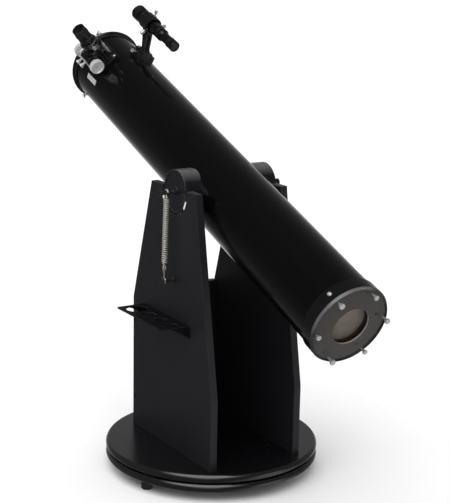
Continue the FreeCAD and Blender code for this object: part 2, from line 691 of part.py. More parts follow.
def secondary(radius=18.0, glass=6.0):
    """The diagonal mirror and its holder: a rod cut at 45 degrees towards the focuser."""
    frame = radial(FOCUS_S, FOCUS_PSI)
    core = rod(radius, -radius - 2, 30, ORIGIN, Y)
    normal = (Z - Y).normalize()
    wedge = aim(ORIGIN, normal, X)
    behind = placed(block((-60, 60), (-60, 60), (-120, 0)), wedge)
    deeper = placed(block((-60, 60), (-60, 60), (-120, -glass)), wedge)
    mirror = core.common(behind).cut(deeper)
    holder = core.common(deeper).cut(rod(2.6, 14, 40, ORIGIN, Y))
    return placed(mirror, frame), placed(holder, frame)


def secondary_screws():
    """The centre bolt that carries the diagonal, and the three screws that tilt it."""
    frame = along_tube(0)
    holder_end = FOCUS_S + 30
    centre = rod(2.5, FOCUS_S + 15, SPIDER_S + 11).fuse(round_head(5.0, 4.0, SPIDER_S + 11))
    bolts = [centre.removeSplitter()]
    for i in range(3):
        place = on_ring(9.0, 30 + 120 * i)
        shank = rod(1.5, holder_end, SPIDER_S + 11, place)
        head = placed(round_head(2.8, 3.0, SPIDER_S + 11), Placement(place, Rotation()))
        bolts.append(shank.fuse(head).removeSplitter())
    return [placed(b, frame) for b in bolts]


# ---------------------------------------------------------------- focuser and eyepiece


def saddle(half_x, back, front, top, corner):
    """A block that sits on the tube: drawn in a radial frame whose y runs along the tube."""
    plate = block((-half_x, half_x), (back, front), (TUBE_R - 14, top))
    upright = [e for e in plate.Edges if e.BoundBox.ZLength > 10]
    return plate.makeFillet(corner, upright).cut(rod(TUBE_R, back - 1, front + 1, ORIGIN, Y))


def focuser_housing():
    """The casting: saddle, ribbed tower, top barrel and pinion block, bored for the drawtube."""
    base = saddle(35, -40, 40, TUBE_R + 6, 8)
    tower = block((-TOWER_X, TOWER_X), (-TOWER_Y, TOWER_Y), (85, TOWER_TOP))
    tower = tower.makeFillet(5, [e for e in tower.Edges if e.BoundBox.ZLength > 30])
    tower = tower.makeChamfer(1.5, [e for e in tower.Edges if e.BoundBox.ZMin > TOWER_TOP - 1])
    barrel = rod(HOUSING_R, 95, HOUSING_TOP)
    lip = rod(HOUSING_R + 2, HOUSING_TOP - 5, HOUSING_TOP)
    cheek = block((PINION_X - 12, -15), (-19, 19), (PINION_Z - 13, PINION_Z + 13))
    cheek = cheek.makeFillet(4, [e for e in cheek.Edges if e.BoundBox.YLength > 30])
    web = block((PINION_X - 6, -15), (-14, 14), (TUBE_R, PINION_Z - 8))
    ribs = [
        block((x - 1.5, x + 1.5), (-TOWER_Y - 3, 0), (TUBE_R + 2, TOWER_TOP - 3)) for x in (-9, 0, 9)
    ]
    body = base.fuse([tower, barrel, lip, cheek, web] + ribs)
    body = body.cut(rod(TUBE_R, -60, 60, ORIGIN, Y))
    bore = rod(DRAW_R + DRAW_CLEARANCE, 60, 160)
    rack_slot = block((PINION_X + PITCH_R - 1.6, -10), (-4.4, 4.4), (60, 160))
    gear_room = rod(PITCH_R + 1.8, -5.5, 5.5, Vector(PINION_X, 0, PINION_Z), Y)
    shaft_bore = rod(SHAFT_R + SHAFT_CLEARANCE, -40, 40, Vector(PINION_X, 0, PINION_Z), Y)
    return body.cut([bore, rack_slot, gear_room, shaft_bore]).removeSplitter()


def focuser_covers():
    """The plate screwed over the pinion block, and the one on the tower's other side."""
    low, high = PINION_X - 15, PINION_X - 12
    cover = block((low, high), (-18, 18), (PINION_Z - 12, PINION_Z + 12))
    cover = cover.makeChamfer(1.0, [e for e in cover.Edges if e.BoundBox.XMax < high - 1])
    plate = block((HOUSING_R, HOUSING_R + 2.5), (-15, 15), (TUBE_R + 8, HOUSING_TOP - 6))
    spacer = block((TOWER_X, HOUSING_R), (-14, 14), (TUBE_R + 13, HOUSING_TOP - 8))
    spacer = spacer.cut(rod(HOUSING_R, 90, 150))
    plate = plate.makeFillet(3, [e for e in plate.Edges if e.BoundBox.XLength > 1])
    return cover, plate.fuse(spacer).removeSplitter()


def cover_screws():
    """The small screws of the focuser's two cover plates."""
    shape = screw(1.2, 8, 2.3, 1.6)
    left, right = aim(ORIGIN, X * -1, Z), aim(ORIGIN, X, Z)
    x = PINION_X - 15
    found = []
    for y in (-15.2, 15.2):
        for z in (PINION_Z - 8.5, PINION_Z + 8.5):
            found.append(placed(shape, Placement(Vector(x, y, z), left.Rotation)))
        place = Vector(HOUSING_R + 2.5, 0.75 * y, (TUBE_R + TOWER_TOP) / 2 + 5)
        found.append(placed(shape, Placement(place, right.Rotation)))
    return found


def base_screws():
    """The screws through the focuser's saddle, one near each corner."""
    found = []
    for x in (-27, 27):
        for y in (-33, 33):
            shape = screw(1.8, 14, 3.6, 2.2)
            found.append(placed(shape, Placement(Vector(x, y, TUBE_R + 6), Rotation())))
    return found


def cheek_screw(y):
    """A thumbscrew in the pinion block, for the focus lock or its drag, and the screw's hole."""
    place = Vector(PINION_X - 16, y, PINION_Z + THUMB_RISE)
    frame = radial(FOCUS_S, FOCUS_PSI) * aim(place, X * -1, Z)
    return placed(thumbscrew(2.0, 10.0, 6.0, 15.0, 16), frame), placed(screw_hole(2.0, 10.0), frame)


def rack_teeth():
    """The straight rack on the drawtube, as one outline in the xz plane."""
    pitch = math.pi * MODULE
    line = PINION_X + PITCH_R
    slope = math.tan(PRESSURE)
    half = pitch / 4 - BACKLASH / 4
    tip_x, root_x = line - ADDENDUM, line + DEDENDUM
    half_tip, half_root = half - ADDENDUM * slope, half + DEDENDUM * slope
    first = math.ceil((DRAW_LOW - PINION_Z) / pitch) + 1
    last = math.floor((DRAW_TOP - PINION_Z) / pitch) - 1
    back = 1.3 - DRAW_R
    points = [Vector(back, 0, PINION_Z + pitch * (first - 0.6))]
    points.append(Vector(root_x, 0, points[0].z))
    for i in range(first, last + 1):
        z = PINION_Z + pitch * i
        points.append(Vector(root_x, 0, z - half_root))
        points.append(Vector(tip_x, 0, z - half_tip))
        points.append(Vector(tip_x, 0, z + half_tip))
        points.append(Vector(root_x, 0, z + half_root))
    points.append(Vector(root_x, 0, points[-1].z + 0.5))
    points.append(Vector(back, 0, points[-1].z))
    face = outline(points)
    face.translate(Y * -3.5)
    return face.extrude(Y * 7)


def drawtube():
    tube = pipe(DRAW_R, DRAW_BORE + 0.7, DRAW_LOW, DRAW_TOP)
    return placed(tube.fuse(rack_teeth()).removeSplitter(), radial(FOCUS_S, FOCUS_PSI))


def eyepiece_collar(clamps):
    """The holder on top of the drawtube that the eyepiece slides into."""
    collar = turned(
        [
            (DRAW_BORE, DRAW_TOP),
            (COLLAR_R - 3, DRAW_TOP),
            (COLLAR_R, DRAW_TOP + 3),
            (COLLAR_R, COLLAR_TOP - 4),
            (COLLAR_R - 1.5, COLLAR_TOP - 3),
            (COLLAR_R - 1.5, COLLAR_TOP),
            (DRAW_BORE, COLLAR_TOP),
        ]
    )
    return placed(collar, radial(FOCUS_S, FOCUS_PSI)).cut(clamps)


def clamp_screw(direction, head_r, head_h):
    """A thumbscrew in the collar that holds the eyepiece, and the screw's hole."""
    shank = COLLAR_R + 1.0 - BARREL_R - BODY_GAP
    place = direction * (COLLAR_R + 1.0) + Z * (DRAW_TOP + COLLAR_TOP) / 2
    frame = radial(FOCUS_S, FOCUS_PSI) * aim(place, direction, Z)
    hole = placed(screw_hole(2.0, shank), frame)
    return placed(thumbscrew(2.0, shank, head_r, head_h), frame), hole


def tooth_flank(base_r, radius):
    """How far an involute flank has turned at this radius from its start on the base circle."""
    if radius <= base_r:
        return 0.0
    pressure = math.acos(base_r / radius)
    return math.tan(pressure) - pressure


def pinion_gear():
    """A spur pinion along y with a tooth space facing the rack."""
    base_r = PITCH_R * math.cos(PRESSURE)
    root_r, tip_r = PITCH_R - DEDENDUM, PITCH_R + ADDENDUM
    half_pitch_angle = math.pi / (2 * TEETH) - BACKLASH / (4 * PITCH_R)
    start = half_pitch_angle + tooth_flank(base_r, PITCH_R)
    radii = [root_r, base_r] + [base_r + (tip_r - base_r) * i / 4 for i in range(1, 5)]
    points = []
    for tooth in range(TEETH):
        middle = 2 * math.pi * (tooth + 0.5) / TEETH
        for r in radii:
            turn = middle - start + tooth_flank(base_r, r)
            points.append(Vector(r * math.cos(turn), -4, r * math.sin(turn)))
        for r in reversed(radii):
            turn = middle + start - tooth_flank(base_r, r)
            points.append(Vector(r * math.cos(turn), -4, r * math.sin(turn)))
    return outline(points).extrude(Y * 8)


def pinion_shaft():
    ends = KNOB_Y + KNOB_W - 6
    gear = pinion_gear().fuse(rod(SHAFT_R, -ends, ends, ORIGIN, Y)).removeSplitter()
    centre = Placement(Vector(PINION_X, 0, PINION_Z), Rotation())
    return placed(gear, radial(FOCUS_S, FOCUS_PSI) * centre)


def focus_knob(side):
    """A flared knob with a fluted rim and a dished face."""
    waist, rim_low = 9.0, 0.42 * KNOB_W
    cone = turned(
        [
            (SHAFT_R, 0),
            (waist, 0),
            (waist, 0.22 * KNOB_W),
            (KNOB_R - 2.0, rim_low),
            (KNOB_R - 1.2, KNOB_W),
            (KNOB_R - 3.0, KNOB_W),
            (KNOB_R - 4.0, KNOB_W - 3.2),
            (3.5, KNOB_W - 4.2),
            (SHAFT_R, KNOB_W - 4.2),
        ]
    )
    grip = fluted(KNOB_R, 0.6, 36, rim_low, KNOB_W - 1.2)
    grip = grip.cut(rod(KNOB_R - 3.0, 0, KNOB_W + 1))
    knob = cone.fuse(grip).removeSplitter()
    start = Vector(PINION_X, side * KNOB_Y, PINION_Z)
    frame = radial(FOCUS_S, FOCUS_PSI) * aim(start, Y * side, X)
    return placed(knob, frame)


def eyepiece():
    """The eyepiece: barrel, body, rubber cup and two lenses, all on the focuser's axis."""
    body_low, neck = COLLAR_TOP + 0.5, 3.0
    barrel = pipe(BARREL_R, BARREL_R - 1.4, BARREL_LOW, body_low)
    body = turned(
        [
            (13.0, body_low),
            (EYE_BODY_R - 2, body_low),
            (EYE_BODY_R, body_low + 2),
            (EYE_BODY_R, body_low + 10),
            (EYE_BODY_R - 1, body_low + 11),
            (EYE_BODY_R - 1, body_low + 13),
            (EYE_BODY_R - 0.2, body_low + 14),
            (EYE_BODY_R - 0.8, EYE_BODY_TOP - neck),
            (EYE_BODY_R - 3, EYE_BODY_TOP),
            (11.0, EYE_BODY_TOP),
            (11.0, EYE_BODY_TOP - 6),
            (13.0, EYE_BODY_TOP - 6),
        ]
    )
    cup = turned(
        [
            (EYE_BODY_R - 0.8, EYE_BODY_TOP - neck),
            (EYE_BODY_R - 3, EYE_BODY_TOP),
            (12.0, EYE_BODY_TOP),
            (12.0, EYE_BODY_TOP + 2),
            (14.4, EYE_BODY_TOP + 5),
            (15.6, EYECUP_TOP),
            (17.2, EYECUP_TOP - 0.6),
            (16.9, EYE_BODY_TOP + 9),
            (18.0, EYE_BODY_TOP + 3),
            (18.6, EYE_BODY_TOP - neck),
        ]
    )
    eye_lens = rod(11.0, EYE_BODY_TOP - 6, EYE_BODY_TOP - 1.5)
    eye_lens = eye_lens.common(Part.makeSphere(30, Vector(0, 0, EYE_BODY_TOP - 1.5 - 30)))
    field_lens = rod(BARREL_R - 1.4, body_low - 10, body_low - 5)
    return barrel, body, cup, eye_lens, field_lens


def build_focuser():
    """Saves the focuser and eyepiece, and returns the screws that also go through the tube."""
    frame = radial(FOCUS_S, FOCUS_PSI)
    drag, lock = cheek_screw(-THUMB_Y), cheek_screw(THUMB_Y)
    clamps = [clamp_screw(X, 6.8, 16.0), clamp_screw(Y * -1, 5.2, 13.0)]
    small = [placed(s, frame) for s in cover_screws() + base_screws()]
    cutters = small + [drag[1], lock[1]]
    save("focuser_housing", placed(focuser_housing(), frame).cut(cutters))
    save("focuser_covers", *[placed(c, frame).cut(cutters) for c in focuser_covers()])
    save("focus_drag_screw", drag[0])
    save("focus_lock_screw", lock[0])
    save("drawtube", drawtube())
    save("eyepiece_collar", eyepiece_collar([hole for _, hole in clamps]))
    save("eyepiece_clamp_screw_1", clamps[0][0])
    save("eyepiece_clamp_screw_2", clamps[1][0])
    save("pinion_shaft", pinion_shaft())
    save("focus_knobs", focus_knob(-1), focus_knob(1))
    barrel, body, cup, eye_lens, field_lens = (placed(s, frame) for s in eyepiece())
    save("eyepiece_barrel", barrel)
    save("eyepiece_body", body)
    save("eyecup", cup)
    save("eyepiece_lenses", eye_lens, field_lens)
    return small


# ---------------------------------------------------------------- finder


def finder_shoe():
    """The dovetail shoe on the tube, closed at its sky end."""
    shoe = saddle(SHOE_X, SHOE_BACK, SHOE_FRONT, SHOE_TOP, 3)
    groove = dovetail(GROOVE_LOW_X, GROOVE_TOP_X, GROOVE_Z, SHOE_TOP + 0.01, SHOE_BACK - 1, SHOE_FRONT - 4)
    return shoe.cut(groove)


def dovetail(low_x, top_x, low_z, top_z, back, front):
    corners = [(-low_x, low_z), (low_x, low_z), (top_x, top_z), (-top_x, top_z)]
    return outline([Vector(x, back, z) for x, z in corners]).extrude(Y * (front - back))


def finder_bracket(screws):
    """The foot in the shoe, a leaning stalk and the holder ring round the finder."""
    gap = SLIDE_GAP
    front = SHOE_FRONT - 4 - gap
    foot_part = dovetail(
        GROOVE_LOW_X - gap, GROOVE_TOP_X - gap, GROOVE_Z + gap, SHOE_TOP + gap, SHOE_BACK + 3, front
    )
    pad = block((-15, 15), (SHOE_BACK + 3, front), (SHOE_TOP + gap, SHOE_TOP + 6))
    pad = pad.makeFillet(3, [e for e in pad.Edges if e.BoundBox.ZLength > 3])
    ring_low = FINDER_H - HOLDER_R + 2
    side_view = [
        (SHOE_BACK + 8, SHOE_TOP + 4),
        (front - 6, SHOE_TOP + 4),
        (front - 14, SHOE_TOP + 12),
        (HOLDER_FRONT - 12, ring_low + 2),
        (HOLDER_BACK + 3, ring_low + 2),
        (SHOE_BACK + 20, SHOE_TOP + 14),
    ]
    stalk = outline([Vector(-9, y, z) for y, z in side_view]).extrude(X * 18)
    channel = outline(
        [
            Vector(-4, SHOE_BACK + 6, SHOE_TOP + 10),
            Vector(-4, SHOE_BACK + 24, SHOE_TOP + 10),
            Vector(-4, HOLDER_BACK + 7, ring_low - 6),
            Vector(-4, HOLDER_BACK - 8, ring_low - 6),
        ]
    ).extrude(X * 8)
    axis = Vector(0, 0, FINDER_H)
    ring = rod(HOLDER_R, HOLDER_BACK, HOLDER_FRONT, axis, Y)
    bosses = [
        placed(rod(5.0, HOLDER_BORE, HOLDER_R + 2.5), Placement(axis + Y * AIM_S, Rotation(Y, tilt)))
        for tilt in AIM_ANGLES + (TENSION_ANGLE,)
    ]
    solid = foot_part.fuse([pad, stalk.cut(channel), ring] + bosses)
    bore = rod(HOLDER_BORE, HOLDER_BACK - 1, HOLDER_FRONT + 1, axis, Y)
    shape = placed(solid.cut(bore).removeSplitter(), radial(0, FINDER_PSI))
    return shape.cut(screws)


def aim_screw(tilt):
    """A thumbscrew that pushes the finder sideways, and the screw's hole."""
    start = HOLDER_R + 4.0
    shank = start - FINDER_R - BODY_GAP
    frame = spoke(AIM_S, FINDER_PSI, tilt) * Placement(Z * start, Rotation())
    return placed(thumbscrew(2.0, shank, 4.6, 14.0, 12), frame), placed(screw_hole(2.0, shank), frame)


def tension_barrel():
    """The chromed barrel that holds the sprung pin opposite the two thumbscrews."""
    shape = turned(
        [
            (2.3, HOLDER_BORE),
            (3.2, HOLDER_BORE),
            (3.2, HOLDER_R + 2.5),
            (4.8, HOLDER_R + 2.5),
            (4.8, HOLDER_R + 14),
            (4.0, HOLDER_R + 15),
            (0, HOLDER_R + 15),
            (0, HOLDER_R + 12),
            (2.3, HOLDER_R + 12),
        ]
    )
    return placed(shape, spoke(AIM_S, FINDER_PSI, TENSION_ANGLE))


def tension_pin():
    shape = rod(2.0, FINDER_R + BODY_GAP, HOLDER_R + 8)
    return placed(shape, spoke(AIM_S, FINDER_PSI, TENSION_ANGLE))


def finder_clamp():
    """The thumbscrew in the shoe's side that holds the bracket's foot, and the screw's hole."""
    place = Vector(-SHOE_X - 1.0, (SHOE_BACK + SHOE_FRONT) / 2, (GROOVE_Z + SHOE_TOP) / 2)
    shank = SHOE_X + 1.0 - CLAMP_TIP_X
    frame = radial(0, FINDER_PSI) * aim(place, X * -1, Z)
    return placed(thumbscrew(2.0, shank, 5.5, 12.0), frame), placed(screw_hole(2.0, shank), frame)


def finder_tube():
    """The finder's body: a flared, ridged objective end, a body and a neck with a knurled band."""
    wall, bore = 1.6, FINDER_NECK_R - FINDER_NECK_WALL
    front, neck = FINDER_FRONT, FINDER_NECK_S
    points = [
        (bore, FINDER_EYE_S),
        (FINDER_NECK_R, FINDER_EYE_S),
        (FINDER_NECK_R, neck),
        (FINDER_R - 1, neck + 8),
        (FINDER_R, neck + 9),
        (FINDER_R, neck + 18),
        (FINDER_R - 0.8, neck + 19),
        (FINDER_R - 0.8, neck + 21),
        (FINDER_R, neck + 22),
        (FINDER_R, FINDER_STEP),
        (FINDER_OBJECTIVE_R - 0.7, FINDER_STEP + 3),
    ]
    for i in range(5):
        s = front - 25 + 4.4 * i
        points += [
            (FINDER_OBJECTIVE_R - 0.7, s),
            (FINDER_OBJECTIVE_R, s + 0.5),
            (FINDER_OBJECTIVE_R, s + 2.7),
            (FINDER_OBJECTIVE_R - 0.7, s + 3.2),
        ]
    points += [
        (FINDER_OBJECTIVE_R, front - 2),
        (FINDER_OBJECTIVE_R, front),
        (FINDER_R, front),
        (FINDER_R, FINDER_STEP + 6),
        (FINDER_R - wall, FINDER_STEP),
        (FINDER_R - wall, neck + 10),
        (bore, neck + 2),
    ]
    return turned(points)


def finder_eyepiece():
    """The finder's eyepiece, whose spigot turns in the neck to focus it."""
    low, high = FINDER_BACK, FINDER_EYE_S - 0.4
    spigot, depth = FINDER_NECK_R - FINDER_NECK_WALL - SHAFT_CLEARANCE, 9.0
    points = [(9.5, high + depth), (spigot, high + depth), (spigot, high)]
    points += [(FINDER_EYE_R - 1, high), (FINDER_EYE_R, high - 1)]
    for i in range(3):
        s = high - 4 - 4 * i
        points += [(FINDER_EYE_R, s), (FINDER_EYE_R - 0.6, s - 0.5)]
        points += [(FINDER_EYE_R - 0.6, s - 1.5), (FINDER_EYE_R, s - 2)]
    points += [(FINDER_EYE_R, low + 2), (FINDER_EYE_R - 2, low), (8.0, low), (8.0, low + 5)]
    points += [(9.5, low + 5)]
    return turned(points)


def build_finder():
    frame = radial(0, FINDER_PSI)
    axis = along_tube(0) * Placement(finder_axis(), Rotation())
    clamp, clamp_hole = finder_clamp()
    aims = [aim_screw(t) for t in AIM_ANGLES]
    barrel, pin = tension_barrel(), tension_pin()
    ring_r = FINDER_R + O_RING_GAP + O_RING_R
    ring = placed(Part.makeTorus(ring_r, O_RING_R, Vector(0, 0, O_RING_S), Z), axis)
    save("finder_shoe", placed(finder_shoe(), frame).cut(clamp_hole))
    save("finder_clamp_screw", clamp)
    save("finder_bracket", finder_bracket([hole for _, hole in aims] + [barrel, pin, ring]))
    save("finder_tension_barrel", barrel)
    save("finder_tension_pin", pin)
    save("finder_aim_screw_1", aims[0][0])
    save("finder_aim_screw_2", aims[1][0])
    save("finder_o_ring", ring)
    save("finder_tube", placed(finder_tube(), axis))
    save("finder_eyepiece", placed(finder_eyepiece(), axis))
    lens_front, ball = FINDER_FRONT - 8, 70.0
    objective = rod(FINDER_R, lens_front - 6, lens_front)
    objective = objective.common(Part.makeSphere(ball, Vector(0, 0, lens_front - ball)))
    save("finder_objective", placed(objective, axis))
    save("finder_eye_lens", placed(rod(8.0, FINDER_BACK + 1.5, FINDER_BACK + 5), axis))


def finder_axis():
    """Where the finder's axis crosses the along-tube frame's xy plane."""
    angle = math.radians(FINDER_PSI)
    return Vector(FINDER_H * math.cos(angle), FINDER_H * math.sin(angle), 0)


def build_tube():
    small = build_focuser()
    build_finder()
    knobs = [collimation_knob(*k) for k in zip(bolt_places(BOLT_ANGLE), KNOB_STANDOFF)]
    locks = [lock_screw(*k) for k in zip(bolt_places(BOLT_ANGLE + 60), LOCK_STANDOFF)]
    cell_screws = [band_screw(CELL_SCREW_S, CELL_SCREW_ANGLE + 120 * i) for i in range(3)]
    vane_screws = [spider_screw(45 + 90 * i) for i in range(4)]
    posts = [placed(upper_post(side), TUBE_FRAME) for side in (-1, 1)]
    drawtube_hole = placed(rod(DRAW_R + 4, 60, 120), radial(FOCUS_S, FOCUS_PSI))
    save("tube_shell", tube_shell(small + cell_screws + vane_screws + posts + [drawtube_hole]))
    save("front_ring", front_ring())
    clear = [bolt_hole(p, SHAFT_R + 0.1) for p in bolt_places(BOLT_ANGLE)]
    save("rear_cell", rear_cell(clear + locks, cell_screws))
    save("mirror_cell", mirror_cell(clear))
    save("primary_mirror", primary_mirror())
    clips = [mirror_clip(BOLT_ANGLE + 30 + 120 * i) for i in range(3)]
    save("mirror_clips", *[s for pair in clips for s in pair])
    save("collimation_springs", *[collimation_spring(p) for p in bolt_places(BOLT_ANGLE)])
    for i, knob in enumerate(knobs):
        save(f"collimation_knob_{i + 1}", knob)
    save("tube_screws", *(small + cell_screws + locks))
    save("altitude_bearings", *[placed(trunnion(side), TUBE_FRAME) for side in (-1, 1)])
    save("upper_spring_posts", *posts)
    save("spider", spider().cut(vane_screws + secondary_screws()))
    save("spider_nuts", *vane_screws)
    mirror, holder = secondary()
    save("secondary_mirror", mirror)
    save("secondary_holder", holder.cut(secondary_screws()))
    save("secondary_screws", *secondary_screws())


def bolt_hole(place, radius):
    return placed(rod(radius, TUBE_BACK - 20, CELL_FRONT + 5, place), along_tube(0))


def main():
    os.makedirs(OUT, exist_ok=True)
    build_base()
    build_rocker()
    build_tube()


main()
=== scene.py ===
"""Looks for the dobsonian telescope: materials, wire springs, small trim, studio light and camera.

Metres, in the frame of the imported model: +Z up, +X along the altitude axis, +Y towards the sky end.
"""
import json
import math

import bmesh
import bpy
from mathutils import Matrix, Vector


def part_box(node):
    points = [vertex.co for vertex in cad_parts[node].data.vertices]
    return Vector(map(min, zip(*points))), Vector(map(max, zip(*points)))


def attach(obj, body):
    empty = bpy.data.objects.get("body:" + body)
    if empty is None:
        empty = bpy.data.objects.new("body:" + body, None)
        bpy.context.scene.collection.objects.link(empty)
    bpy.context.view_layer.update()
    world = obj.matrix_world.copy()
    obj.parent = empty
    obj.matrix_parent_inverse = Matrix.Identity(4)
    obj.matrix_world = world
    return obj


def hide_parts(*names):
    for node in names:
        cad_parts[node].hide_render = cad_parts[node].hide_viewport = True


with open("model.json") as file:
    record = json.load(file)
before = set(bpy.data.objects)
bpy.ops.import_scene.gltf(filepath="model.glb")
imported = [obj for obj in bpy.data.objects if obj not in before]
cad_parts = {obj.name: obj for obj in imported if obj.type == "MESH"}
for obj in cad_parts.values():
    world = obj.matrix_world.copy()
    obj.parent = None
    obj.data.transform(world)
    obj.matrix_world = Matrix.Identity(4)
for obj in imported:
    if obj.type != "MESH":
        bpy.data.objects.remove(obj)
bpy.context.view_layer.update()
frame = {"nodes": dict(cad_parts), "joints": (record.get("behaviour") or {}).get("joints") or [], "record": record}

NODES, RECORD = frame["nodes"], frame["record"]
MM = 0.001
X = Vector((1, 0, 0))

# The tube's own frame: its axis, and the altitude axis that it crosses
JOINTS = {joint["name"]: joint for joint in frame["joints"]}
MOUNTS = {mount["name"]: mount for mount in RECORD["mounts"]}
PIVOT = Vector(JOINTS["altitude_tilt"]["pos_m"])
ALONG = Vector(MOUNTS["front_aperture"]["axis"]).normalized()
ACROSS = X.cross(ALONG)
TUBE_R = 92.0 * MM

# The rear ring's zones of painted tone, painted reflection and painted highlight: radii, and places along the tube
# from the altitude axis
CELL_PLATE_R, CELL_PLATE_S = 90.3 * MM, -560.0 * MM
CELL_RIM_R, CELL_RIM_S = 92.5 * MM, -558.05 * MM
CELL_HOLE_R, CELL_SHOULDER_S = 45.4 * MM, -527.0 * MM

# Wire springs and their hooks; the coil widens to its radius over COIL_LEAD turns at each end
SPRING_TOP_X, SPRING_END_X = 147.0 * MM, 155.0 * MM
SPRING_WIRE_R, HOOK_WIRE_R = 1.75 * MM, 1.35 * MM
COIL_R, COIL_TURNS, COIL_STEPS = 5.3 * MM, 31, 26
COIL_TOP, COIL_END, COIL_LEAD = 12.0 * MM, 170.0 * MM, 0.6
UPPER_EYE_R, LOWER_EYE_R = 6.6 * MM, 5.6 * MM
HOOK_LOOP_R, HOOK_RING_R = 2.7 * MM, 6.7 * MM

# Turned rings on the back plate, in radians for each metre out from the tube's axis
TURNED_RINGS = 5200.0

# Dust: specks anywhere, and a lighter layer on faces that look up, which is dust and also a painted highlight on
# their tops
SPECK_COLOR, DUST_AND_HIGHLIGHT_COLOR = (0.25, 0.25, 0.26), (0.20, 0.20, 0.205)

# The room that glossy surfaces mirror: the direction of its bright backdrop, how bright it is from
# right away from that (0) to straight at it (1), and soft lamps as direction, half width and
# softness in degrees, and strength
BACKDROP = Vector((0.516, 0.825, -0.230)).normalized()
BACKDROP_FAR, BACKDROP_NEAR = 0.03, 1.0
BACKDROP_GLOW = ((0.62, 0.05), (0.81, 0.09), (0.905, 0.15), (0.97, 0.45))
SOFTBOXES = (
    ((-0.40, -0.45, 0.80), 30.0, 8.0, 1.7),
    ((-0.56, -0.80, 0.20), 13.0, 6.0, 0.45),
    ((0.516, -0.825, -0.23), 16.0, 8.0, 0.6),
    ((0.516, -0.445, -0.73), 26.0, 14.0, 0.35),
)
DIFFUSE_WORLD, CAMERA_WORLD = 0.85, 1.0

# Camera: place, then yaw, pitch and roll in degrees, and lens on a sensor this high, in millimetres
CAMERA_PLACE = (-1.6452, -2.6804, 1.2828)
CAMERA_TURN = (-32.01, 13.31, 1.05)
LENS, SENSOR_HEIGHT = 95.54, 36.0


def on_tube(s, psi, radius):
    """A point s along the tube from the altitude axis, at psi round it, this far from its axis."""
    angle = math.radians(psi)
    return PIVOT + ALONG * s + radius * (ACROSS * math.sin(angle) - X * math.cos(angle))


# ------------------------------------------------------------------ materials


class Graph:
    """A material's node tree, with short ways to add and join nodes."""

    def __init__(self, name):
        self.material = bpy.data.materials.new(name)
        self.material.use_nodes = True
        self.tree = self.material.node_tree
        self.shader = self.tree.nodes["Principled BSDF"]
        self.place = self.add("ShaderNodeTexCoord").outputs["Object"]

    def add(self, kind, inputs=(), **settings):
        node = self.tree.nodes.new(kind)
        for key, value in settings.items():
            setattr(node, key, value)
        for key, value in dict(inputs).items():
            self.feed(node.inputs[key], value)
        return node

    def feed(self, socket, value):
        """Joins an output to a socket, or sets the socket's own value."""
        if isinstance(value, bpy.types.NodeSocket):
            self.tree.links.new(value, socket)
        else:
            socket.default_value = value

    def math(self, operation, *values, clamp=False):
        node = self.add("ShaderNodeMath", operation=operation, use_clamp=clamp)
        for socket, value in zip(node.inputs, values):
            self.feed(socket, value)
        return node.outputs[0]

    def vector(self, operation, *values):
        node = self.add("ShaderNodeVectorMath", operation=operation)
        for socket, value in zip(node.inputs, values):
            self.feed(socket, value)
        return node.outputs["Value" if operation in ("DOT_PRODUCT", "LENGTH") else "Vector"]

    def noise(self, scale, detail=3.0, rough=0.5, place=None):
        inputs = {"Vector": place or self.place, "Scale": scale, "Detail": detail, "Roughness": rough}
        return self.add("ShaderNodeTexNoise", inputs).outputs["Fac"]

    def stretched(self, scale):
        """Object coordinates scaled differently along each row axis."""
        return self.add("ShaderNodeMapping", {"Vector": self.place, "Scale": scale}).outputs[0]

    def ramp(self, value, low, high, to_low=0.0, to_high=1.0):
        """value spread from low..high to to_low..to_high, held at the ends."""
        node = self.add("ShaderNodeMapRange", {"Value": value}, clamp=True)
        for key, number in zip(("From Min", "From Max", "To Min", "To Max"), (low, high, to_low, to_high)):
            node.inputs[key].default_value = number
        return node.outputs[0]

    def step(self, value, at, soft):
        """0 below at and 1 above it, softened this far each side, or turned round if soft is negative."""
        return self.ramp(value, at - soft, at + soft)

    def mix(self, amount, a, b):
        node = self.add("ShaderNodeMix", data_type="RGBA")
        self.feed(node.inputs["Factor"], amount)
        for key, value in (("A", a), ("B", b)):
            socket = [s for s in node.inputs if s.name == key and s.type == "RGBA"][0]
            self.feed(socket, value if isinstance(value, bpy.types.NodeSocket) else (*value, 1.0))
        return [s for s in node.outputs if s.type == "RGBA"][0]

    def edges(self, radius):
        """1 on convex and concave edges and 0 on flats, and the rounded normal."""
        rounded = self.add("ShaderNodeBevel", {"Radius": radius}, samples=6).outputs[0]
        flat = self.add("ShaderNodeNewGeometry").outputs["Normal"]
        facing = self.vector("DOT_PRODUCT", rounded, flat)
        return self.ramp(facing, 0.995, 0.80), rounded

    def bump(self, height, strength, depth, normal=None):
        inputs = {"Height": height, "Strength": strength, "Distance": depth}
        if normal is not None:
            inputs["Normal"] = normal
        return self.add("ShaderNodeBump", inputs).outputs[0]

    def axis_distance(self):
        """How far a point is from the tube's axis."""
        from_axis = self.vector("SUBTRACT", self.place, tuple(PIVOT))
        across = self.vector("CROSS_PRODUCT", from_axis, tuple(ALONG))
        return self.vector("LENGTH", across)

    def axis_place(self):
        """How far along the tube a point is."""
        from_axis = self.vector("SUBTRACT", self.place, tuple(PIVOT))
        return self.vector("DOT_PRODUCT", from_axis, tuple(ALONG))


def scaled(color, factor):
    return tuple(min(1.0, c * factor) for c in color)


